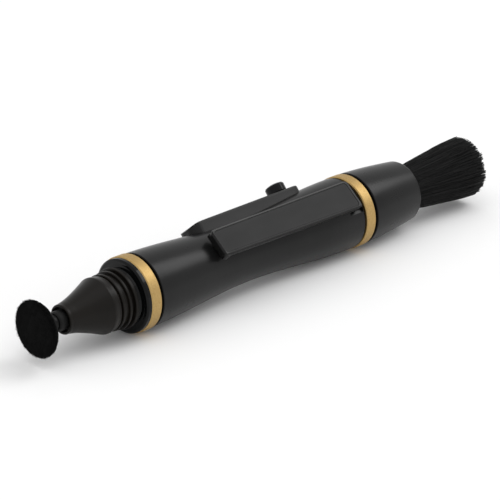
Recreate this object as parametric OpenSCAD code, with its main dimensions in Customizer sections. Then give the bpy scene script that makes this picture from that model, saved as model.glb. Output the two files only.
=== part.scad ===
// Lens cleaning pen: a swivelling suede tip at one end and a brush that
// slides out of a shroud at the other. +X runs along the pen towards the
// brush, +Z is up, and the origin is on the axis at the front face of the
// front trim ring, where a cap stops.

/* [Body] */
// Outer radius of both metal trim rings, the widest part of the pen
ring_r = 8.5; // [8.4:0.1:9]
// Width of each trim ring
ring_w = 2.8; // [2.2:0.1:2.9]
// Outer radius of the barrel at its two ends
barrel_end_r = 8.35; // [8.3:0.05:8.4]
// How far the barrel's waist pulls in below its ends
waist_depth = 1.57; // [1.3:0.01:1.6]
// Radius of the long bore that guides the brush carriage
guide_bore_r = 5.2; // [5.15:0.01:5.25]
// Radius of the wider bore that the bristles are drawn into
bristle_bore_r = 6.3; // [6.2:0.05:6.4]
// Radius of the shroud at its mouth
shroud_mouth_r = 7.1; // [7:0.05:7.3]

/* [Cap seat] */
// Radius of the collar's rim, where the cap stops
seat_r = 8.3; // [8.2:0.05:8.35]
// Length of the cylindrical part of that rim
seat_l = 0.8; // [0.7:0.1:0.9]
// Radius of the last grip rib, which the cap's bore slides over
grip_r = 6.8; // [6.7:0.05:6.85]

/* [Cleaning tip] */
// Radius of the round cleaning pad
pad_r = 6.25; // [6:0.05:6.3]
// Radius of the rubber sleeve round the neck
neck_r = 2.25; // [2.1:0.05:2.25]

/* [Brush] */
// How far the brush slides back from its extended position
brush_travel = 24; // [22:0.5:24]
// Radius of the ferrule that holds the bristles
ferrule_r = 4.95; // [4.9:0.01:5]
// Largest radius of the spread bristles
tuft_r = 7.6; // [7:0.1:7.8]

/* [Controls] */
// Angle of the slider rail from straight up, towards +Y
slide_angle = 41; // [38:1:45]
// Angle of the pocket clip from straight up, towards -Y
clip_angle = 38.5; // [36:0.5:45]
// Radius of the slider button
button_r = 2.3; // [2.1:0.1:2.6]
// Width of the slider rail
rail_w = 6.4; // [5.8:0.1:6.6]
// Width of the pocket clip at its free end
clip_w0 = 6.7; // [6.4:0.1:6.8]
// Width of the pocket clip at its root
clip_w1 = 7.3; // [7:0.1:7.4]
// Height of the clip's top face above the pen's axis, at its free end
clip_top0 = 10; // [9.9:0.05:10.1]
// Height of the clip's top face above the pen's axis, at its root
clip_top1 = 9.2; // [9.1:0.05:9.3]

/* [Hidden] */
$fn = 96;

// Places along the pen
barrel_x0 = 3.5;
barrel_x1 = 65.2;
rear_ring_x = 65.8;
shroud_x0 = rear_ring_x + ring_w + 0.8;
shroud_x1 = 85.25;
chamber_x0 = 60.5;
spigot_x1 = 72;
waist_x = 33.2;
waist_l = 62;
// The trim rings sit on these seats
front_seat_r = 7.2;
rear_seat_r = 7.6;
// Front socket of the barrel, which takes the collar's spigot
socket_r = 6.6;
socket_x1 = 11;
collar_bore_r = 5;
collar_x0 = -2;
retainer_x1 = -8;

// The tip turns about this point
pivot_x = -16;
socket_ball_r = 3;
bushing_r = 2.95;
bushing_bore_r = 1.65;
tip_ball_r = 1.6;
stem_r = 1;
sleeve_x0 = -20.05;
sleeve_x1 = -17.75;
disc_r = 5.6;
cushion_r = 5.3;
pad_face_x = -25.6;
pad_back_x = -24.2;
cushion_x = -24.3;
disc_x = -23.95;

// Slider: the button's place with the brush out, and what rides with it
button_x = 51.4;
button_stem_r = 1.25;
button_foot = 3.3;
button_seat = 9.32;
button_rim = 11.1;
button_dome = 0.5;
slot_half = 1.3;
rail_x0 = 22.3;
rail_x1 = 56.1;
rail_tongue = 1.95;
rail_corner = 2.5;
rail_nose_l = 4.5;
rail_nose_foot = 8.3;
rail_tail_l = 3;
rail_tail_foot = 8.1;
rail_top_front = 9;
rail_top_rear = 9.15;
rail_edge = 0.5;
guide_r = 5.12;
carriage_x0 = 44.5;
carriage_x1 = 60;
spring_x = 52;
ferrule_x0 = 71;
ferrule_x1 = 84;
ferrule_plug_x1 = 75;
root_x = 77.5;
ferrule_bore_r = 4.6;
tuft_x1 = 108.4;

// Clip: it turns a little on a bead in the barrel's pocket
clip_x0 = 21.2;
clip_x1 = 64;
clip_under0 = 8.9;
clip_under1 = 7.95;
lip_under = 7.65;
lip_l = 1.4;
bump_x = 24.6;
clip_slope = atan((clip_top0 - clip_top1) / (clip_x1 - clip_x0));
clip_taper = atan((clip_w1 - clip_w0) / 2 / (clip_x1 - clip_x0));
shoulder = 0.36;
clip_pivot_x = 63;
clip_pivot_h = 7.25;
bead_r = 0.5;
bead_half = 2.4;
foot_half = 1.8;
flat_x0 = 50;
flat_half = 3.8;
pocket_x0 = 61;
clip_corner = 1.1;
label_inset = 0.45;
label_sunk = 0.06;
label_margin = 0.5;
label_gap = 0.09;

// Outer radius of the waisted barrel at a place along it
function barrel_r(x) = abs(x - waist_x) >= waist_l / 2 ? barrel_end_r :
    barrel_end_r - waist_depth * (1 + cos(360 * (x - waist_x) / waist_l)) / 2;

// Outer radius of the nose cone's hollow flare
flare_x0 = -16.8;
flare_x1 = -8.4;
flare_r0 = 3.45;
flare_r1 = 6.28;
function flare_r(x) =
    flare_r0 + (flare_r1 - flare_r0) * pow((x - flare_x0) / (flare_x1 - flare_x0), 1.28);

// Outline points of one grip rib: its front edge, rounded crest and rear edge
function rib(x0, x1, r, groove) = [[groove, x0 - 0.05], [r - 0.12, x0], [r, x0 + 0.15],
    [r, x1 - 0.15], [r - 0.12, x1], [groove, x1 + 0.05]];

// Outer radius of the shroud, closing in towards its mouth
function shroud_r(x) = ring_r - 0.1
    - (ring_r - 0.1 - shroud_mouth_r) * pow((x - shroud_x0) / (shroud_x1 - shroud_x0), 1.5);

// Points of an arc about a centre, for an outline
function arc(r, x, size, from, to, steps) =
    [for (i = [0:steps]) let (a = from + (to - from) * i / steps)
        [r + size * cos(a), x + size * sin(a)]];

// Solid turned about the pen's axis from an outline of [radius, place] points
module turned(outline)
    rotate([0, 90, 0]) rotate_extrude() polygon(outline);

// Round rod along the pen
module rod(x0, x1, r)
    translate([x0, 0, 0]) rotate([0, 90, 0]) cylinder(h = x1 - x0, r = r);

// Bar with half-round ends, seen from above the pen
module stadium(x0, x1, half, z0, z1) {
    translate([x0 + half, -half, z0]) cube([x1 - x0 - 2 * half, 2 * half, z1 - z0]);
    for (x = [x0 + half, x1 - half]) translate([x, 0, z0]) cylinder(h = z1 - z0, r = half);
}

// Plate whose two long sides spread apart, with four round corners
module tapered_plate(x0, x1, half0, half1, corner, z0, z1) {
    front = [x0 + corner, half0 - corner];
    rear = [x1 - corner, half1 - corner];
    lean = atan((rear[1] - front[1]) / (rear[0] - front[0]));
    side = concat(arc(front[0], front[1], corner, 180, 90 + lean, 9),
        arc(rear[0], rear[1], corner, 90 + lean, 0, 9));
    translate([0, 0, z0]) linear_extrude(z1 - z0)
        polygon(concat(side, [for (i = [len(side) - 1:-1:0]) [side[i][0], -side[i][1]]]));
}

// Side outline of [place, height] points, as thick as the given width
module side_profile(outline, width)
    translate([0, width / 2, 0]) rotate([90, 0, 0]) linear_extrude(width) polygon(outline);

// Bar along the pen whose two top edges are rounded off
module rounded_bar(x0, x1, half, top, edge)
    translate([x0, 0, 0]) rotate([90, 0, 90]) linear_extrude(x1 - x0)
        polygon(concat([[-half, 0], [half, 0]],
            [for (i = [0:3]) let (a = 30 * i) [half - edge + edge * cos(a), top - edge + edge * sin(a)]],
            [for (i = [3:6]) let (a = 30 * i) [edge - half + edge * cos(a), top - edge + edge * sin(a)]]));

// Turn a shape drawn straight up on to the slider's or the clip's side
module on_slide_side() rotate([-slide_angle, 0, 0]) children();
module on_clip_side() rotate([clip_angle, 0, 0]) children();

// Suede skin of the tip: a slightly domed face with a rim round the cushion
module cleaning_pad() {
    rim = 0.55;
    color("#161616") difference() {
        turned(concat([[0, pad_back_x], [pad_r - 0.2, pad_back_x], [pad_r, pad_back_x - 0.25]],
            arc(pad_r - rim, pad_face_x + rim + 0.12, rim, 0, -70, 5),
            [[pad_r / 2, pad_face_x + 0.05], [0, pad_face_x]]));
        turned([[0, disc_x], [cushion_r, disc_x], [cushion_r, pad_face_x + 0.8],
            [cushion_r - 0.3, pad_face_x + 0.6], [0, pad_face_x + 0.45]]);
    }
}

// Foam disc that backs the suede
module pad_cushion() {
    r = cushion_r - 0.02;
    color("#3a3a3a") turned([[0, cushion_x], [r, cushion_x], [r, pad_face_x + 0.8],
        [r - 0.3, pad_face_x + 0.62], [0, pad_face_x + 0.48]]);
}

// Mushroom-shaped holder: a disc, a hollow flare, a stem and its ball
module tip_holder() {
    bell = sleeve_x0 - disc_x - 0.3;
    step_r = disc_r - 0.33;
    color("#1d1d1d") {
        turned(concat([[0, cushion_x + 0.02], [step_r, cushion_x + 0.02],
            [step_r, pad_back_x + 0.05], [disc_r, pad_back_x + 0.05], [disc_r, disc_x + 0.25]],
            arc(disc_r - 0.3, sleeve_x0, bell, 265, 180, 7),
            [[stem_r, sleeve_x0], [stem_r, pivot_x], [0, pivot_x]]));
        translate([pivot_x, 0, 0]) sphere(r = tip_ball_r);
    }
}

// Rubber sleeve round the stem, with a soft bulge where it enters the cone
module neck_sleeve() {
    color("#2b2b2b") turned([[stem_r, sleeve_x0], [neck_r - 0.3, sleeve_x0],
        [neck_r - 0.08, sleeve_x0 + 0.35], [neck_r, sleeve_x0 + 0.85], [neck_r, sleeve_x1 - 0.45],
        [neck_r - 0.12, sleeve_x1], [stem_r, sleeve_x1]]);
}

// Rubber bushing: a ball with a round seat for the tip's ball inside it
module neck_bushing() {
    front = 1.2;
    opening_r = 1.3;
    outer_from = -asin(front / bushing_r);
    inner_to = -acos(opening_r / bushing_bore_r);
    color("#242424") turned(concat(
        arc(0, pivot_x, bushing_r, outer_from, 90, 16),
        arc(0, pivot_x, bushing_bore_r, 90, inner_to, 16),
        [[opening_r, pivot_x - front]]));
}

// Plug that closes the socket behind the bushing
module ball_retainer() {
    color("#303030") difference() {
        rod(pivot_x + 1.1, retainer_x1, socket_ball_r);
        translate([pivot_x, 0, 0]) sphere(r = socket_ball_r);
    }
}

// Nose cone: rolled mouth, hollow flare, shoulder and three grip ribs
module nose_cone() {
    mouth_x = -18.3;
    mouth_r = 2.85;
    lip_r = 3.3;
    spigot_x = 3;
    flare = [for (i = [0:10]) let (x = flare_x0 + (flare_x1 - flare_x0) * i / 10) [flare_r(x), x]];
    color("#2c2826") difference() {
        turned(concat([[0, mouth_x], [lip_r - 0.3, mouth_x]],
            arc(lip_r - 0.3, mouth_x + 0.3, 0.3, -90, 0, 3),
            [[lip_r + 0.02, mouth_x + 0.8]],
            flare,
            [[flare_r1, -8], [6.14, -7.2], [6.12, -6.7]],
            rib(-6.1, -5.5, 6.3, 5.85), rib(-4.4, -3.8, 6.5, 5.9), rib(-3, -2.2, grip_r, 5.95),
            [[5.95, collar_x0], [collar_bore_r, collar_x0], [collar_bore_r, spigot_x], [0, spigot_x]]));
        // mouth, socket for the bushing and the bore behind it
        turned([[0, mouth_x - 1], [mouth_r, mouth_x - 1], [mouth_r, mouth_x],
            [2.6, -17.5], [0, -17.5]]);
        rod(-18, pivot_x, 2.6);
        translate([pivot_x, 0, 0]) sphere(r = socket_ball_r);
        rod(pivot_x, retainer_x1, socket_ball_r);
        rod(retainer_x1 - 0.1, spigot_x + 1, 3.6);
    }
}

// Collar behind the cone: a dished face, the cap's seat, the ring's seat and a spigot
module cap_collar() {
    face_x = -1.35;
    rim_x = face_x + 0.25;
    color("#15151a") difference() {
        turned([[0, collar_x0], [6.3, collar_x0], [6.5, face_x], [7.3, rim_x - 0.05],
            [7.85, rim_x], [8.1, rim_x + 0.12], [seat_r, -seat_l],
            [seat_r, 0], [front_seat_r, 0], [front_seat_r, barrel_x0],
            [socket_r, barrel_x0], [socket_r, socket_x1 - 0.2], [0, socket_x1 - 0.2]]);
        rod(collar_x0 - 1, socket_x1, collar_bore_r);
    }
}

// Metal ring with bevelled edges, bored for its seat
module trim_ring(x0, bore_r, front_bevel) {
    edge = 0.22;
    turned([[bore_r, x0 + 0.3], [bore_r + front_bevel, x0], [ring_r - edge, x0],
        [ring_r, x0 + edge], [ring_r, x0 + ring_w - edge], [ring_r - edge, x0 + ring_w],
        [bore_r, x0 + ring_w]]);
}

module front_trim_ring() {
    color("#c8a050") trim_ring(0, front_seat_r, 0.4);
}

module rear_trim_ring() {
    color("#c8a050") trim_ring(rear_ring_x, rear_seat_r, 0.1);
}

// Outer form of the barrel, before it is bored and cut
module barrel_form() {
    waist_steps = 32;
    edge = 0.15;
    curve_x0 = 4;
    curve_l = 59.6;
    turned(concat([[0, barrel_x0], [barrel_end_r - edge, barrel_x0], [barrel_end_r, barrel_x0 + edge]],
        [for (i = [0:waist_steps]) let (x = curve_x0 + curve_l * i / waist_steps) [barrel_r(x), x]],
        [[barrel_end_r, barrel_x1 - edge], [barrel_end_r - edge, barrel_x1], [0, barrel_x1]]));
}

// Waisted barrel with its bores, the rail's opening and the clip's pocket
module barrel() {
    color("#1b1b1c") difference() {
        union() {
            barrel_form();
            rod(barrel_x1 - 1, spigot_x1, rear_seat_r);
        }
        rod(barrel_x0 - 1, socket_x1, socket_r);
        rod(socket_x1 - 1, chamber_x0 + 1, guide_bore_r);
        rod(chamber_x0, spigot_x1 + 1, bristle_bore_r);
        on_slide_side() stadium(rail_x0 + 0.7, rail_x1 - 0.7, rail_tongue + 0.05, 3, ring_r + 1);
        on_clip_side() {
            // flat under the root of the clip
            translate([flat_x0, -flat_half, clip_under1 - 0.15])
                cube([barrel_x1 - flat_x0 + 0.01, 2 * flat_half, 2]);
            // pocket for the foot, round seats for its bead, and side notches
            translate([pocket_x0, -foot_half - 0.15, 6.65]) cube([4, 2 * foot_half + 0.3, 3]);
            translate([clip_pivot_x, 0, clip_pivot_h]) rotate([90, 0, 0])
                cylinder(h = 2 * bead_half + 0.2, r = bead_r + 0.05, center = true);
            for (side = [-1, 1]) translate([pocket_x0, side * clip_w1 / 2 - 0.5, 7]) cube([4, 1, 2]);
        }
    }
}

// Raised rail with a rounded nose and the long slot that the button runs in
module slide_rail() {
    nose = [for (i = [0:6]) let (a = 15 * i)
        [rail_x0 + rail_nose_l * (1 - cos(a)),
         rail_nose_foot + (rail_top_front - rail_nose_foot) * sin(a)]];
    tail = [for (i = [0:6]) let (a = 15 * i)
        [rail_x1 - rail_tail_l * (1 - sin(a)),
         rail_tail_foot + (rail_top_rear - rail_tail_foot) * cos(a)]];
    rail_slope = atan((rail_top_rear - rail_top_front) / (rail_x1 - rail_x0));
    slot_x0 = button_x - brush_travel - slot_half;
    slot_x1 = button_x + slot_half;
    color("#18181a") on_slide_side() difference() {
        union() {
            difference() {
                intersection() {
                    side_profile(concat([[rail_x0, 6]], nose, tail, [[rail_x1, 6]]), rail_w + 2);
                    tapered_plate(rail_x0, rail_x1, rail_w / 2, rail_w / 2, rail_corner, 6, ring_r + 2);
                    translate([rail_x0, 0, rail_top_front]) rotate([0, -rail_slope, 0])
                        translate([-1, 0, -4]) rounded_bar(0, rail_x1 - rail_x0 + 2, rail_w / 2,
                            4.01, rail_edge);
                }
                barrel_form();
            }
            difference() {
                stadium(rail_x0 + 0.75, rail_x1 - 0.75, rail_tongue, 4, 7.3);
                rod(rail_x0, rail_x1, guide_bore_r + 0.05);
            }
        }
        stadium(slot_x0, slot_x1, slot_half, 3, ring_r + 2);
    }
}

// Shape on the sloping top of the clip, drawn with its top face at height 0
module on_clip_top()
    translate([clip_x0, 0, clip_top0]) rotate([0, clip_slope, 0]) translate([-clip_x0, 0, 0]) children();

// Plate that follows the clip's outline a little inside it
module clip_outline(inset, corner, z0, z1)
    tapered_plate(clip_x0 + inset, clip_x1 - inset, clip_w0 / 2 - inset, clip_w1 / 2 - inset,
        corner, z0, z1);

// Clip: a tapered arm over the waist, a lip and a bump at its free end,
// a recess for the label, and a foot with a bead in the barrel's pocket
module pocket_clip() {
    color("#17171a") on_clip_side() {
        difference() {
            intersection() {
                side_profile([[clip_x0, clip_top0], [clip_x0, clip_under0],
                    [clip_x0 + 0.35, clip_under0], [clip_x0 + 0.35, lip_under],
                    [clip_x0 + lip_l, lip_under], [clip_x0 + lip_l + 0.6, clip_under0],
                    [60, clip_under1], [clip_x1, clip_under1], [clip_x1, clip_top1]], clip_w1 + 1);
                clip_outline(0, clip_corner, clip_under1 - 1, clip_top0 + 1);
            }
            on_clip_top() {
                clip_outline(label_margin, clip_corner - 0.2, -label_inset, 1);
                // sloping shoulders along both sides and across the free end
                for (side = [0, 1]) mirror([0, side, 0])
                    translate([clip_x0, clip_w0 / 2 - shoulder, 0]) rotate([0, 0, clip_taper])
                        rotate([-45, 0, 0]) translate([-3, 0, 0]) cube([60, 3, 3]);
                translate([clip_x0 + shoulder, -5, 0]) rotate([0, -45, 0])
                    translate([-3, 0, 0]) cube([3, 10, 3]);
            }
        }
        // bump that presses on the pocket's cloth
        translate([bump_x, 0, 8.4]) rotate([90, 0, 0]) cylinder(h = 3.6, r = 1, center = true);
        // foot and bead
        translate([pocket_x0 + 0.5, -foot_half, 6.8]) cube([2.3, 2 * foot_half, 1.3]);
        translate([clip_pivot_x, 0, clip_pivot_h]) rotate([90, 0, 0])
            cylinder(h = 2 * bead_half, r = bead_r, center = true);
    }
}

// Plain inset plate on the clip
module clip_label() {
    color("#2a2a2c") on_clip_side() on_clip_top()
        clip_outline(label_margin + label_gap, clip_corner - 0.25, -label_inset, -label_sunk);
}

// Round button: a domed cap on a stem that goes down into the carriage
module slider_button() {
    dome_r = (button_r * button_r + button_dome * button_dome) / (2 * button_dome);
    dome_a = asin((button_r - 0.25) / dome_r);
    color("#0e0e10") on_slide_side() translate([button_x, 0, 0]) rotate_extrude()
        polygon(concat([[0, button_foot], [button_stem_r, button_foot], [button_stem_r, button_seat],
            [button_r - 0.12, button_seat], [button_r, button_seat + 0.12], [button_r, button_rim - 0.2]],
            [for (i = [0:6]) let (a = dome_a * (1 - i / 6))
                [dome_r * sin(a), button_rim + button_dome + dome_r * (cos(a) - 1)]]));
}

// Carriage: two guide collars, a seat for the button and a plug for the ferrule
module brush_carriage() {
    waist_r = 4.2;
    // one guide collar with bevelled edges, from one place to another
    function guide(x0, x1) = [[waist_r, x0], [guide_r - 0.2, x0], [guide_r, x0 + 0.2],
        [guide_r, x1 - 0.2], [guide_r - 0.2, x1], [waist_r, x1]];
    color("#3c3c40") difference() {
        turned(concat([[0, carriage_x0]], guide(carriage_x0, carriage_x0 + 3),
            guide(carriage_x1 - 3.5, carriage_x1),
            [[waist_r, ferrule_x0 - 0.3], [ferrule_bore_r, ferrule_x0 - 0.3],
            [ferrule_bore_r, ferrule_plug_x1], [0, ferrule_plug_x1]]));
        on_slide_side() translate([button_x, 0, button_foot]) cylinder(h = 3, r = button_stem_r);
        // seat for the detent spring, opposite the button
        on_slide_side() translate([spring_x - 3.6, -1.3, -4.5]) cube([7.2, 2.6, 0.7]);
    }
}

// Bent steel leaf that rubs along the bore and holds the brush where it is put
module detent_spring() {
    leaf_t = 0.2;
    half_l = 3.5;
    rise = 1.12;
    root_h = -3.85;
    bow = [for (i = [0:12]) let (a = 15 * i) [spring_x - half_l * cos(a), root_h - rise * sin(a)]];
    inner = [for (i = [12:-1:0]) let (a = 15 * i)
        [spring_x - (half_l - leaf_t) * cos(a), root_h + 0.04 - (rise - leaf_t) * sin(a)]];
    color("#b8bcc0") on_slide_side() side_profile(concat(bow, inner), 2.2);
}

// Metal tube round the roots of the bristles
module brush_ferrule() {
    crimp_x = 73;
    crimp = 0.12;
    color("#8d9094") turned([[ferrule_bore_r, ferrule_x0], [ferrule_r - 0.1, ferrule_x0],
        [ferrule_r, ferrule_x0 + 0.1], [ferrule_r, crimp_x - 0.4], [ferrule_r - crimp, crimp_x - 0.2],
        [ferrule_r - crimp, crimp_x + 0.2], [ferrule_r, crimp_x + 0.4], [ferrule_r, ferrule_x1 - 0.1],
        [ferrule_r - 0.1, ferrule_x1], [ferrule_bore_r, ferrule_x1]]);
}

// Resin that bonds the bristles' roots
module bristle_plug() {
    color("#5a4a30") rod(ferrule_plug_x1, root_x, ferrule_bore_r);
}

// Bristle tuft: straight in the ferrule, then spreading to a flat-cut end
module brush_bristles() {
    color("#0c0c0c") turned([[0, root_x], [ferrule_bore_r, root_x], [ferrule_bore_r, ferrule_x1],
        [tuft_r - 1.2, tuft_x1 - 9], [tuft_r, tuft_x1 - 1], [tuft_r - 0.8, tuft_x1], [0, tuft_x1]]);
}

// Shroud round the brush: a tube that closes in to a rounded mouth
module rear_shroud() {
    lip = 0.4;
    edge = 0.15;
    form_steps = 14;
    form_x0 = shroud_x0 + edge;
    step = (shroud_x1 - lip - form_x0) / form_steps;
    color("#1c1c1e") difference() {
        turned(concat([[0, shroud_x0], [shroud_r(shroud_x0) - edge, shroud_x0]],
            [for (i = [0:form_steps]) let (x = form_x0 + step * i) [shroud_r(x), x]],
            arc(shroud_mouth_r - lip, shroud_x1 - lip, lip, 20, 90, 4),
            [[0, shroud_x1]]));
        rod(shroud_x0 - 1, spigot_x1 + 0.2, rear_seat_r);
        rod(spigot_x1, shroud_x1 + 1, bristle_bore_r);
    }
}

cleaning_pad();
pad_cushion();
tip_holder();
neck_sleeve();
neck_bushing();
ball_retainer();
nose_cone();
cap_collar();
front_trim_ring();
barrel();
slide_rail();
pocket_clip();
clip_label();
slider_button();
brush_carriage();
detent_spring();
brush_ferrule();
bristle_plug();
brush_bristles();
rear_trim_ring();
rear_shroud();
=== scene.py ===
"""Looks of the lens cleaning pen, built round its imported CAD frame."""
import math
import random

import bmesh
import bpy
from mathutils import Matrix, Vector, noise


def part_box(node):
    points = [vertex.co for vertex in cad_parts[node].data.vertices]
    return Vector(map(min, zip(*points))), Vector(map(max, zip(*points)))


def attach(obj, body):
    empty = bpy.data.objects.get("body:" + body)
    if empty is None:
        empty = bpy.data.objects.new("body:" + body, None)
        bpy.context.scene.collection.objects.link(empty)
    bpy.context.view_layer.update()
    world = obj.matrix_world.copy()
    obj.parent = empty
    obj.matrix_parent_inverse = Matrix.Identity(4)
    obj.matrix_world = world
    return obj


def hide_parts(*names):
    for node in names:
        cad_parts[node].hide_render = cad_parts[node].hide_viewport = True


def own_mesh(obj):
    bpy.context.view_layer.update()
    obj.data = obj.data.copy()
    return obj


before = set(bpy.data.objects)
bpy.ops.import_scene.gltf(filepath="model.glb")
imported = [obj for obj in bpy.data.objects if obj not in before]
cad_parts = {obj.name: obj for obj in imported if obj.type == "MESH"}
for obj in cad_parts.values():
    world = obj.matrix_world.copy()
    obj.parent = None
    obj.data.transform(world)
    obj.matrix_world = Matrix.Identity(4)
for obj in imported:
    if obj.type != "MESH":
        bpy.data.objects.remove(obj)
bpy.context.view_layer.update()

MM = 0.001
rng = random.Random(11)
scene = bpy.context.scene


# ---------------------------------------------------------------- camera
# The camera looks at a point near the pen's axis, from the cleaning tip's side.
AIM = Vector((36.71, -0.25, -0.41)) * MM
CAMERA_DISTANCE = 632 * MM
CAMERA_AZIMUTH = math.radians(-44.85)
CAMERA_ELEVATION = math.radians(23.78)
CAMERA_ROLL = math.radians(0.92)
CAMERA_LENS = 206.4


def direction(azimuth, elevation):
    """Unit vector from the aim towards a viewer; azimuth 0 looks along +Y."""
    return Vector((math.sin(azimuth) * math.cos(elevation),
                   -math.cos(azimuth) * math.cos(elevation),
                   math.sin(elevation)))


def make_camera():
    """A long lens that looks at the aim, rolled by about a degree."""
    data = bpy.data.cameras.new("camera")
    data.lens = CAMERA_LENS
    data.sensor_width = 36
    data.clip_start = 0.01
    camera = bpy.data.objects.new("camera", data)
    scene.collection.objects.link(camera)
    back = direction(CAMERA_AZIMUTH, CAMERA_ELEVATION)
    right = Vector((math.cos(CAMERA_AZIMUTH), math.sin(CAMERA_AZIMUTH), 0))
    turn = Matrix((right, back.cross(right), back)).transposed()
    camera.matrix_world = (Matrix.Translation(AIM + back * CAMERA_DISTANCE)
                           @ turn.to_4x4() @ Matrix.Rotation(CAMERA_ROLL, 4, "Z"))
    scene.camera = camera


# ---------------------------------------------------------------- node helpers
class Nodes:
    """A small wrapper that makes a material's nodes and links them."""

    def __init__(self, name):
        self.material = bpy.data.materials.new(name)
        self.material.use_nodes = True
        self.tree = self.material.node_tree
        self.tree.nodes.clear()
        self.shader = self.add("ShaderNodeBsdfPrincipled")
        output = self.add("ShaderNodeOutputMaterial")
        self.link(self.shader, "BSDF", output, "Surface")
        self.place = self.add("ShaderNodeTexCoord")

    def add(self, kind, **settings):
        made = self.tree.nodes.new(kind)
        for key, value in settings.items():
            if key in made.inputs:
                made.inputs[key].default_value = value
            else:
                setattr(made, key, value)
        return made

    def link(self, source, out, target, into):
        self.tree.links.new(source.outputs[out], target.inputs[into])

    def set(self, **values):
        """Constant values on the shader's own sockets; _ in a name is a space."""
        for key, value in values.items():
            self.shader.inputs[key.replace("_", " ")].default_value = value

    def stretched(self, x, y, z):
        """Object coordinates stretched by these factors per metre."""
        mapping = self.add("ShaderNodeMapping")
        mapping.inputs["Scale"].default_value = (x, y, z)
        self.link(self.place, "Object", mapping, "Vector")
        return mapping

    def noise(self, size_mm, detail=3, rough=0.5, stretch=(1, 1, 1)):
        """Noise whose features are about size_mm across."""
        per_metre = 1 / (size_mm * MM)
        mapping = self.stretched(*(per_metre * s for s in stretch))
        made = self.add("ShaderNodeTexNoise", Scale=1.0, Detail=detail, Roughness=rough)
        self.link(mapping, "Vector", made, "Vector")
        return made

    def ramp(self, source, out, low, high, to_low, to_high):
        """A value mapped from one range to another, clamped."""
        made = self.add("ShaderNodeMapRange")
        for key, value in (("From Min", low), ("From Max", high),
                           ("To Min", to_low), ("To Max", to_high)):
            made.inputs[key].default_value = value
        self.link(source, out, made, "Value")
        return made

    def colours(self, source, out, stops):
        """Colours along a ramp; stops are (place, (r, g, b))."""
        made = self.add("ShaderNodeValToRGB")
        band = made.color_ramp
        while len(band.elements) < len(stops):
            band.elements.new(0.5)
        for element, (where, colour) in zip(band.elements, stops):
            element.position = where
            element.color = (*colour, 1)
        self.link(source, out, made, "Fac")
        self.link(made, "Color", self.shader, "Base Color")
        return made

    def combine(self, operation, a, a_out, b, b_out):
        """Two values put through one math operation."""
        made = self.add("ShaderNodeMath", operation=operation)
        self.link(a, a_out, made, 0)
        self.link(b, b_out, made, 1)
        return made

    def bump(self, source, out, depth_mm, strength, under=None):
        """Fine relief on the shader's normal, laid over an earlier bump if given."""
        made = self.add("ShaderNodeBump", Strength=strength, Distance=depth_mm * MM)
        self.link(source, out, made, "Height")
        if under is not None:
            self.link(under, "Normal", made, "Normal")
        self.link(made, "Normal", self.shader, "Normal")
        return made


def grey(value, warm=0.0):
    """A near-neutral colour; warm above 0 leans to red, below 0 to blue."""
    return (value * (1 + warm), value, value * (1 - warm))


# ---------------------------------------------------------------- materials
def moulded_plastic(name, tone, rough, warm=0.0, grain_mm=0.14, grain_depth=0.003,
                    specular=0.2, smear=0.03):
    """Injection-moulded plastic: faint flow clouds, fine grain, handling marks
    that change its gloss, and edges a little duller where hands rub them."""
    n = Nodes(name)
    clouds = n.noise(7, detail=4)
    n.colours(clouds, "Fac", [(0.3, grey(tone * 0.82, warm)), (0.7, grey(tone * 1.18, warm))])
    marks = n.noise(4, detail=5, rough=0.55, stretch=(0.3, 1, 1))
    gloss = n.ramp(marks, "Fac", 0.35, 0.75, rough - smear, rough + smear)
    edge = n.add("ShaderNodeNewGeometry")
    worn = n.ramp(edge, "Pointiness", 0.52, 0.6, 0.0, 0.06)
    total = n.combine("ADD", gloss, "Result", worn, "Result")
    n.link(total, "Value", n.shader, "Roughness")
    flow = n.noise(9, detail=1)
    soft = n.bump(flow, "Fac", 0.008, 0.5)
    grain = n.noise(grain_mm, detail=2)
    n.bump(grain, "Fac", grain_depth, 0.8, under=soft)
    n.set(Specular_IOR_Level=specular)
    return n.material


def anodised_gold(name):
    """Satin gold anodising: fine turned lines round the ring and a speckle."""
    n = Nodes(name)
    speckle = n.noise(0.22, detail=5, rough=0.7)
    n.colours(speckle, "Fac", [(0.3, (0.37, 0.24, 0.085)), (0.5, (0.47, 0.32, 0.125)),
                               (0.72, (0.58, 0.42, 0.20))])
    lines = n.noise(0.05, detail=3, rough=0.6, stretch=(1, 0.02, 0.02))
    gloss = n.ramp(lines, "Fac", 0.3, 0.7, 0.44, 0.6)
    n.link(gloss, "Result", n.shader, "Roughness")
    turned = n.bump(lines, "Fac", 0.003, 0.7)
    n.bump(speckle, "Fac", 0.004, 0.6, under=turned)
    n.set(Metallic=1.0, Specular_IOR_Level=0.5)
    return n.material


def metal(name, dark, pale, rough, stretch):
    """Plain drawn or rolled metal with fine lines."""
    n = Nodes(name)
    lines = n.noise(0.06, detail=4, rough=0.6, stretch=stretch)
    n.colours(lines, "Fac", [(0.3, dark), (0.7, pale)])
    gloss = n.ramp(lines, "Fac", 0.3, 0.7, rough - 0.06, rough + 0.08)
    n.link(gloss, "Result", n.shader, "Roughness")
    n.bump(lines, "Fac", 0.002, 0.6)
    n.set(Metallic=1.0)
    return n.material


def rubber(name, tone):
    """Soft rubber: dull, with a dusty bloom and fine mottling."""
    n = Nodes(name)
    bloom = n.noise(0.9, detail=6, rough=0.65)
    n.colours(bloom, "Fac", [(0.3, grey(tone * 0.75)), (0.55, grey(tone)),
                             (0.8, grey(tone * 1.5))])
    gloss = n.ramp(bloom, "Fac", 0.3, 0.75, 0.44, 0.62)
    n.link(gloss, "Result", n.shader, "Roughness")
    grain = n.noise(0.1, detail=3)
    n.bump(grain, "Fac", 0.006, 0.8)
    n.set(Specular_IOR_Level=0.14)
    return n.material


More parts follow.
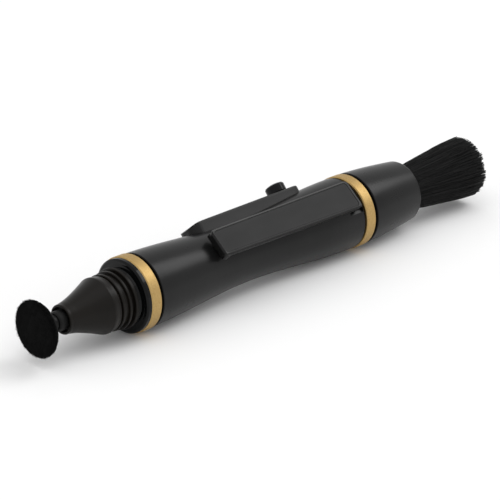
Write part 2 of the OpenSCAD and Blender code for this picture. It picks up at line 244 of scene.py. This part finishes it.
def suede(name):
    """Dense black nap: no gloss, brushed patches and a soft sheen."""
    n = Nodes(name)
    brushed = n.noise(1.6, detail=5, rough=0.6)
    n.colours(brushed, "Fac", [(0.3, grey(0.0022)), (0.7, grey(0.0042))])
    nap = n.noise(0.07, detail=4, rough=0.8)
    n.bump(nap, "Fac", 0.05, 0.9)
    n.set(Roughness=1.0, Specular_IOR_Level=0.03, Sheen_Weight=0.02, Sheen_Roughness=0.5)
    return n.material


def hair(name):
    """Black bristle: dark strands that catch a thin streak of light."""
    n = Nodes(name)
    strands = n.noise(0.3, detail=4, rough=0.7, stretch=(0.16, 1, 1))
    n.colours(strands, "Fac", [(0.36, grey(0.0009)), (0.52, grey(0.0028)),
                               (0.7, grey(0.0095))])
    gloss = n.ramp(strands, "Fac", 0.3, 0.7, 0.42, 0.6)
    n.link(gloss, "Result", n.shader, "Roughness")
    n.set(Specular_IOR_Level=0.18)
    return n.material


def foam(name):
    """Closed-cell foam: small round cells in a dull grey."""
    n = Nodes(name)
    cells = n.add("ShaderNodeTexVoronoi", Scale=1.0)
    n.link(n.stretched(6000, 6000, 6000), "Vector", cells, "Vector")
    n.colours(cells, "Distance", [(0.1, grey(0.075)), (0.7, grey(0.035))])
    n.bump(cells, "Distance", 0.03, 0.9)
    n.set(Roughness=0.9, Specular_IOR_Level=0.2)
    return n.material


def resin(name):
    """Cured resin: amber, with slow colour bands."""
    n = Nodes(name)
    bands = n.noise(1.5, detail=3)
    n.colours(bands, "Fac", [(0.3, (0.06, 0.04, 0.02)), (0.7, (0.13, 0.09, 0.045))])
    n.bump(bands, "Fac", 0.02, 0.6)
    n.set(Roughness=0.25)
    return n.material


def paint_nodes():
    """A material for every CAD node that stays in view."""
    satin = moulded_plastic("satin_black", 0.0065, 0.30, specular=0.2)
    by_node = {
        satin: ("barrel", "slide_rail", "pocket_clip", "rear_shroud"),
        moulded_plastic("label_plate", 0.008, 0.36, specular=0.15, grain_mm=0.09):
            ("clip_label",),
        moulded_plastic("nose_plastic", 0.0055, 0.34, warm=0.2, grain_mm=0.2,
                        grain_depth=0.004, specular=0.14, smear=0.05): ("nose_cone",),
        moulded_plastic("gloss_black", 0.0025, 0.1, warm=-0.08, grain_depth=0.001,
                        specular=0.16, smear=0.02): ("cap_collar", "slider_button"),
        moulded_plastic("inner_plastic", 0.035, 0.45): ("brush_carriage", "ball_retainer"),
        moulded_plastic("tip_plastic", 0.005, 0.4, specular=0.14): ("tip_holder",),
        rubber("soft_rubber", 0.008): ("neck_sleeve", "neck_bushing"),
        anodised_gold("gold_trim"): ("front_trim_ring", "rear_trim_ring"),
        metal("ferrule_metal", (0.42, 0.43, 0.44), (0.6, 0.61, 0.62), 0.3, (0.02, 1, 1)):
            ("brush_ferrule",),
        metal("spring_steel", (0.5, 0.51, 0.52), (0.68, 0.69, 0.7), 0.25, (0.05, 1, 1)):
            ("detent_spring",),
        foam("foam"): ("pad_cushion",),
        resin("resin"): ("bristle_plug",),
    }
    for material, names in by_node.items():
        for name in names:
            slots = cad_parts[name].data.materials
            if not slots:
                slots.append(material)
            for i in range(len(slots)):
                slots[i] = material


EDGE_ROUNDS_MM = {"pocket_clip": 0.3, "slide_rail": 0.5, "clip_label": 0.05,
                  "slider_button": 0.16, "cap_collar": 0.06, "nose_cone": 0.07}
SHARP_EDGE = math.radians(32)


def soften_edges():
    """Small rounds on the moulded parts' sharp edges, so that they catch light."""
    for name, size in EDGE_ROUNDS_MM.items():
        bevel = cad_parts[name].modifiers.new("soft_edges", "BEVEL")
        bevel.width = size * MM
        bevel.segments = 3
        bevel.limit_method = "ANGLE"
        bevel.angle_limit = SHARP_EDGE


# ---------------------------------------------------------------- mesh helpers
def add_mesh(name, points, faces, material, smooth=True):
    """A mesh object made of these points and faces, in the scene."""
    mesh = bpy.data.meshes.new(name)
    mesh.from_pydata([tuple(p) for p in points], [], faces)
    mesh.materials.append(material)
    mesh.polygons.foreach_set("use_smooth", [smooth] * len(mesh.polygons))
    mesh.update()
    made = bpy.data.objects.new(name, mesh)
    scene.collection.objects.link(made)
    return made


def strand(points, faces, path, radii, sides=3, twist=0.0):
    """Adds a thin tapered strand along a path of points, closed at both ends."""
    start = len(points)
    for i, here in enumerate(path):
        along = (path[min(i + 1, len(path) - 1)] - path[max(i - 1, 0)]).normalized()
        side = along.orthogonal().normalized()
        other = along.cross(side)
        for k in range(sides):
            turn = twist + 2 * math.pi * k / sides
            points.append(here + radii[i] * (side * math.cos(turn) + other * math.sin(turn)))
    for i in range(len(path) - 1):
        for k in range(sides):
            a = start + i * sides + k
            b = start + i * sides + (k + 1) % sides
            faces.append((a, b, b + sides, a + sides))
    last = start + (len(path) - 1) * sides
    faces.append(tuple(start + k for k in reversed(range(sides))))
    faces.append(tuple(last + k for k in range(sides)))


# ---------------------------------------------------------------- cleaning pad
PAD_AROUND = 180            # points round the pad
PAD_STEPS = 22              # rings from the middle of its face to the rim
PAD_FLAT = 0.88             # share of the radius where the rim's round begins
PAD_DOME = 0.05 * MM        # how far the face falls back towards the rim
PAD_RIM = 0.5 * MM          # radius of the rim's round
RIM_SETBACK = 0.06 * MM     # where that round starts, behind the face's middle
PAD_LIP = 0.42 * MM         # width of the skin's edge at the back of the rim
PRESSED_RING_R = 4.1 * MM   # faint ring that the holder presses into the face
PRESSED_RING_W = 0.5 * MM
TUFT_SIZE = 0.55 * MM       # size of the rim's tufts
PAD_FIBRES = 5200
FIBRE_LENGTHS_MM = (0.12, 0.28)
FIBRE_RADII = [0.026 * MM, 0.022 * MM, 0.01 * MM]
RIM_FIBRES_OF_13 = 7        # of each 13 fibres, this many grow on the rim


def make_pad(material):
    """Suede skin: a domed face with a faint pressed ring, a rim that wraps the
    foam, and a nap of short fibres."""
    low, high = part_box("cleaning_pad")
    face_x, back_x, radius = low.x, high.x, high.z
    around, rim = PAD_AROUND, PAD_RIM
    # outline from the middle of the face, round the rim, to the back's inner edge
    outline = [(radius * PAD_FLAT * i / PAD_STEPS, face_x + PAD_DOME * (i / PAD_STEPS) ** 2)
               for i in range(PAD_STEPS + 1)]
    rim_x = face_x + RIM_SETBACK
    outline += [(radius - rim + rim * math.sin(a), rim_x + rim * (1 - math.cos(a)))
                for a in (math.radians(10 * k) for k in range(2, 10))]
    outline += [(radius, back_x - 0.3 * MM), (radius - 0.05 * MM, back_x - 0.12 * MM),
                (radius - 0.2 * MM, back_x), (radius - PAD_LIP, back_x)]
    points = []
    for i, (r, x) in enumerate(outline):
        for k in range(around):
            turn = 2 * math.pi * k / around
            where = Vector((x, r * math.cos(turn), r * math.sin(turn)))
            fine = noise.noise(where / (0.22 * MM)) * 0.018 * MM
            slow = noise.noise(where / (2.4 * MM) + Vector((7, 1, 3))) * 0.05 * MM
            ring = 0.05 * MM * math.exp(-((r - PRESSED_RING_R) / PRESSED_RING_W) ** 2)
            face = max(0.0, 1 - i / (PAD_STEPS + 4))
            out = Vector((0, math.cos(turn), math.sin(turn)))
            edge = min(1.0, r / radius) ** 6
            tufts = noise.noise(where / TUFT_SIZE + Vector((2, 5, 9))) * 0.12 * MM
            points.append(where + Vector((1, 0, 0)) * face * (fine + ring - abs(slow))
                          + out * edge * (fine * 1.6 + tufts - 0.04 * MM))
    faces = []
    for i in range(len(outline) - 1):
        for k in range(around):
            a = i * around + k
            b = i * around + (k + 1) % around
            faces.append((a, a + around, b + around, b))
    # the inner wall and floor that sit on the foam and close the skin
    inner = len(points)
    for r, x in ((radius - PAD_LIP, back_x - 0.25 * MM), (radius * 0.8, face_x + 0.6 * MM)):
        for k in range(around):
            turn = 2 * math.pi * k / around
            points.append(Vector((x, r * math.cos(turn), r * math.sin(turn))))
    back = (len(outline) - 1) * around
    for first, second in ((back, inner), (inner, inner + around)):
        for k in range(around):
            j = (k + 1) % around
            faces.append((first + k, second + k, second + j, first + j))
    faces.append(tuple(inner + around + k for k in reversed(range(around))))
    # the outline's first ring is the middle of the face, so it becomes one point
    middle = points[0].copy()
    for k in range(around):
        points[k] = middle
    grow_nap(points, faces, face_x, radius)
    pad = add_mesh("suede_pad", points, faces, material)
    merge_close(pad, 1e-7)
    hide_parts("cleaning_pad")
    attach(pad, "tip")


def grow_nap(points, faces, face_x, radius):
    """Short fibres: sparse on the face, and in longer tufts round the rim."""
    rim, rim_x = PAD_RIM, face_x + RIM_SETBACK
    for f in range(PAD_FIBRES):
        turn = rng.uniform(0, 2 * math.pi)
        out = Vector((0, math.cos(turn), math.sin(turn)))
        on_rim = f % 13 < RIM_FIBRES_OF_13
        if on_rim:
            a = rng.uniform(0.1, 1.0) * math.pi / 2
            root = out * (radius - rim + rim * math.sin(a))
            root.x = rim_x + rim * (1 - math.cos(a)) + rng.uniform(0, 0.55) * MM
            grow = out * math.sin(a) - Vector((1, 0, 0)) * math.cos(a) * 0.6
        else:
            root = out * radius * 0.93 * math.sqrt(rng.random())
            root.x = face_x + 0.03 * MM
            grow = Vector((-0.7, 0, 0))
        lean = Vector([rng.gauss(0, 0.5) for _ in range(3)])
        clump = 1 + 1.3 * noise.noise(root / (0.5 * MM) + Vector((2, 5, 9)))
        length = rng.uniform(*FIBRE_LENGTHS_MM) * MM * (1.2 * clump if on_rim else 0.7)
        way = (grow + lean).normalized()
        bend = Vector([rng.gauss(0, 0.3) for _ in range(3)])
        path = [root - grow * 0.03 * MM, root + way * length * 0.55,
                root + (way + bend).normalized() * length]
        strand(points, faces, path, FIBRE_RADII)


def merge_close(obj, distance):
    """Joins points that lie on each other and drops faces that vanish."""
    made = bmesh.new()
    made.from_mesh(obj.data)
    bmesh.ops.remove_doubles(made, verts=made.verts, dist=distance)
    bmesh.ops.dissolve_degenerate(made, edges=made.edges, dist=distance)
    bmesh.ops.recalc_face_normals(made, faces=made.faces)
    made.to_mesh(obj.data)
    made.free()


# ---------------------------------------------------------------- brush
SECTORS = 12                # wedges of the tuft, each made as its own mesh
HAIRS = 4800
CLUMPS = 260                # points on the cut end where hairs gather
STEPS_PER_HAIR = 8
GOLDEN_ANGLE = math.pi * (3 - math.sqrt(5))
OUTWARD_BIAS = 0.42         # below 0.5, more hairs stand near the tuft's outside
CLUMP_START = 0.7           # share of the free length where hairs start to gather
CLUMP_PULL = 0.7
STRAY_SHARE = 0.04          # share of hairs that stand out from the tuft
STRAY_REACH = 0.035
CRIMP = 0.085 * MM          # sideways waves of a hair
HAIR_R = 0.075 * MM
HAIR_TAPER = 0.022 * MM
END_INSET = 0.9 * MM        # the core stops this far before the cut end


def tuft_radius(spread, root_r, end_r):
    """Radius of the tuft from its mouth (0) to its cut end (1): it swells early
    and closes in a little at the end."""
    spread = min(1.0, spread)
    closing = 0.25 * MM * max(0.0, spread - 0.8) * 5
    return root_r + (end_r - root_r) * spread ** 0.8 - closing


def make_brush(material):
    """The bristle tuft: wedges of strands that spread from the ferrule to a
    ragged cut end. Each wedge is its own mesh, attached to the brush."""
    ferrule_low, ferrule_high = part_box("brush_ferrule")
    low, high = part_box("brush_bristles")
    root_x = ferrule_high.x - 2.5 * MM
    mouth_x = ferrule_high.x
    end_x = high.x - 0.2 * MM
    root_r = ferrule_high.z - 0.55 * MM
    end_r = high.z - 0.12 * MM
    length = end_x - mouth_x

    # clump centres on the cut end, by the sunflower rule
    clumps = []
    for i in range(CLUMPS):
        r = math.sqrt((i + 0.5) / CLUMPS)
        turn = i * GOLDEN_ANGLE + rng.uniform(-0.15, 0.15)
        clumps.append((r, turn, rng.uniform(-0.4, 0.15) * MM))
    sectors = [([], []) for _ in range(SECTORS)]
    for i in range(HAIRS):
        share = ((i + 0.5) / HAIRS) ** OUTWARD_BIAS
        turn = (i * GOLDEN_ANGLE + rng.uniform(-0.03, 0.03)) % (2 * math.pi)
        flat = Vector((share * math.cos(turn), share * math.sin(turn)))
        near = min(clumps, key=lambda c: (flat.x - c[0] * math.cos(c[1])) ** 2
                   + (flat.y - c[0] * math.sin(c[1])) ** 2)
        centre = Vector((near[0] * math.cos(near[1]), near[0] * math.sin(near[1])))
        hair_end = (end_x + near[2] * (0.35 + 0.65 * share) - 0.6 * MM * share ** 6
                    + rng.uniform(-0.14, 0.14) * MM)
        wave = rng.uniform(0, 2 * math.pi)
        crimp = rng.uniform(5, 11)
        stray = STRAY_REACH if rng.random() < STRAY_SHARE else 0.0
        path, radii = [], []
        for s in range(STEPS_PER_HAIR + 1):
            t = s / STEPS_PER_HAIR
            x = root_x + (hair_end - root_x) * t
            spread = max(0.0, (x - mouth_x) / length)
            r = tuft_radius(spread, root_r, end_r)
            pull = CLUMP_PULL * max(0.0, spread - CLUMP_START)
            at = flat.lerp(centre, pull) * r
            if at.length > end_r:
                at = at.normalized() * end_r
            at = at * (1 + stray * spread)
            sway = CRIMP * math.sin(wave + crimp * t) * min(1.0, 2 * spread)
            path.append(Vector((x, at.x + sway, at.y + sway * math.cos(wave))))
            radii.append(HAIR_R - HAIR_TAPER * t ** 4)
        sector = int(turn / (2 * math.pi) * SECTORS) % SECTORS
        strand(*sectors[sector], path, radii, twist=wave)

    for k, (points, faces) in enumerate(sectors):
        add_core(points, faces, k, root_x, mouth_x, end_x - END_INSET, root_r, end_r)
        tuft = add_mesh(f"bristles_{k + 1:02d}", points, faces, material)
        if k == 0:
            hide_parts("brush_bristles")
        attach(tuft, "brush")
        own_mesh(tuft)


def add_core(points, faces, k, root_x, mouth_x, end_x, root_r, end_r):
    """A dark wedge inside one sector, so that no light passes between strands."""
    steps = 5
    arc_steps = 4
    start = len(points)
    ring = arc_steps + 2
    for s in range(steps + 1):
        t = s / steps
        x = root_x + (end_x - root_x) * t
        spread = max(0.0, (x - mouth_x) / (end_x - mouth_x))
        r = tuft_radius(spread, root_r, end_r) * (0.95 - 0.12 * spread ** 8)
        points.append(Vector((x, 0, 0)))
        for j in range(arc_steps + 1):
            turn = 2 * math.pi * (k + j / arc_steps) / SECTORS
            points.append(Vector((x, r * math.cos(turn), r * math.sin(turn))))
    for s in range(steps):
        for j in range(ring):
            a = start + s * ring + j
            b = start + s * ring + (j + 1) % ring
            faces.append((a, b, b + ring, a + ring))
    faces.append(tuple(start + j for j in reversed(range(ring))))
    faces.append(tuple(start + steps * ring + j for j in range(ring)))


# ---------------------------------------------------------------- studio
def make_floor():
    """A wide pale floor just under the trim rings, on which the pen lies."""
    size = 4.0
    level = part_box("front_trim_ring")[0].z
    n = Nodes("pale_floor")
    n.colours(n.noise(180, detail=2), "Fac", [(0.3, grey(0.90)), (0.7, grey(0.93))])
    n.set(Roughness=0.9, Specular_IOR_Level=0.1)
    corners = [(-size, -size, level), (size, -size, level),
               (size, size, level), (-size, size, level)]
    floor = add_mesh("floor", corners, [(0, 1, 2, 3)], n.material, smooth=False)


def softbox(name, azimuth, elevation, distance, size, power):
    """A rectangular lamp that faces the aim; size in metres, power in watts."""
    data = bpy.data.lights.new(name, "AREA")
    data.shape = "RECTANGLE"
    data.size, data.size_y = size
    data.energy = power
    light = bpy.data.objects.new(name, data)
    scene.collection.objects.link(light)
    way = direction(math.radians(azimuth), math.radians(elevation))
    light.location = AIM + way * distance
    light.rotation_euler = way.to_track_quat("Z", "Y").to_euler()


def make_lights():
    """A white tent, a soft lamp above, and a small one that draws the streak
    along the barrel."""
    softbox("overhead", azimuth=-20, elevation=78, distance=1.3, size=(1.5, 1.2), power=3)
    softbox("streak", azimuth=66, elevation=45, distance=1.3, size=(0.65, 0.65), power=4.4)
    world = bpy.data.worlds.new("studio")
    world.use_nodes = True
    tent = world.node_tree.nodes["Background"].inputs
    tent["Color"].default_value = (1, 1, 1, 1)
    tent["Strength"].default_value = 0.85
    scene.world = world
    scene.view_settings.view_transform = "Standard"


# ---------------------------------------------------------------- build
make_camera()
make_floor()
make_lights()
paint_nodes()
soften_edges()
make_pad(suede("suede"))
make_brush(hair("bristle"))
